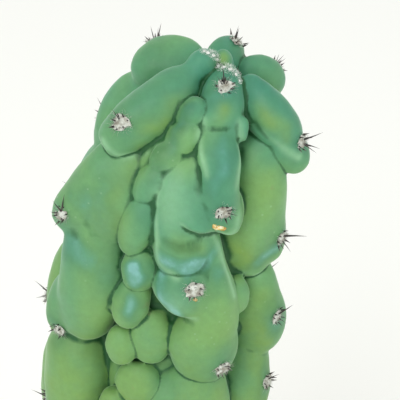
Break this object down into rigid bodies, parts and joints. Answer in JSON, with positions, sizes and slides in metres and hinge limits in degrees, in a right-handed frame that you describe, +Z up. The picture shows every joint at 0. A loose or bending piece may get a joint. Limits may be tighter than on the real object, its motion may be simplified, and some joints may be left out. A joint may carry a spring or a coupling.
{
  "type": "potted blue myrtle cactus",
  "caption": "Knobbly blue-green columnar cactus with hanging swollen tubercles, woolly spiny pads and furrow beads, standing in gritty soil in a plain clay pot.",
  "frame": {"origin": "centre of the pot's underside, on the surface it stands on", "axes": "+Z up along the pot's axis, -Y towards the viewer of the picture, +X to the viewer's right"},
  "size_m": [0.12, 0.12, 0.293],
  "materials": {
    "pot_clay": "unglazed fired clay, matte",
    "soil_grit": "damp gritty cactus soil with small stones",
    "stem_skin": "smooth waxy skin with a pale blue bloom, woolly cream pads and dark spines"
  },
  "bodies": {
    "root": {"pot": "pot_clay", "soil": "soil_grit", "stem": "stem_skin"}
  },
  "joints": []
}
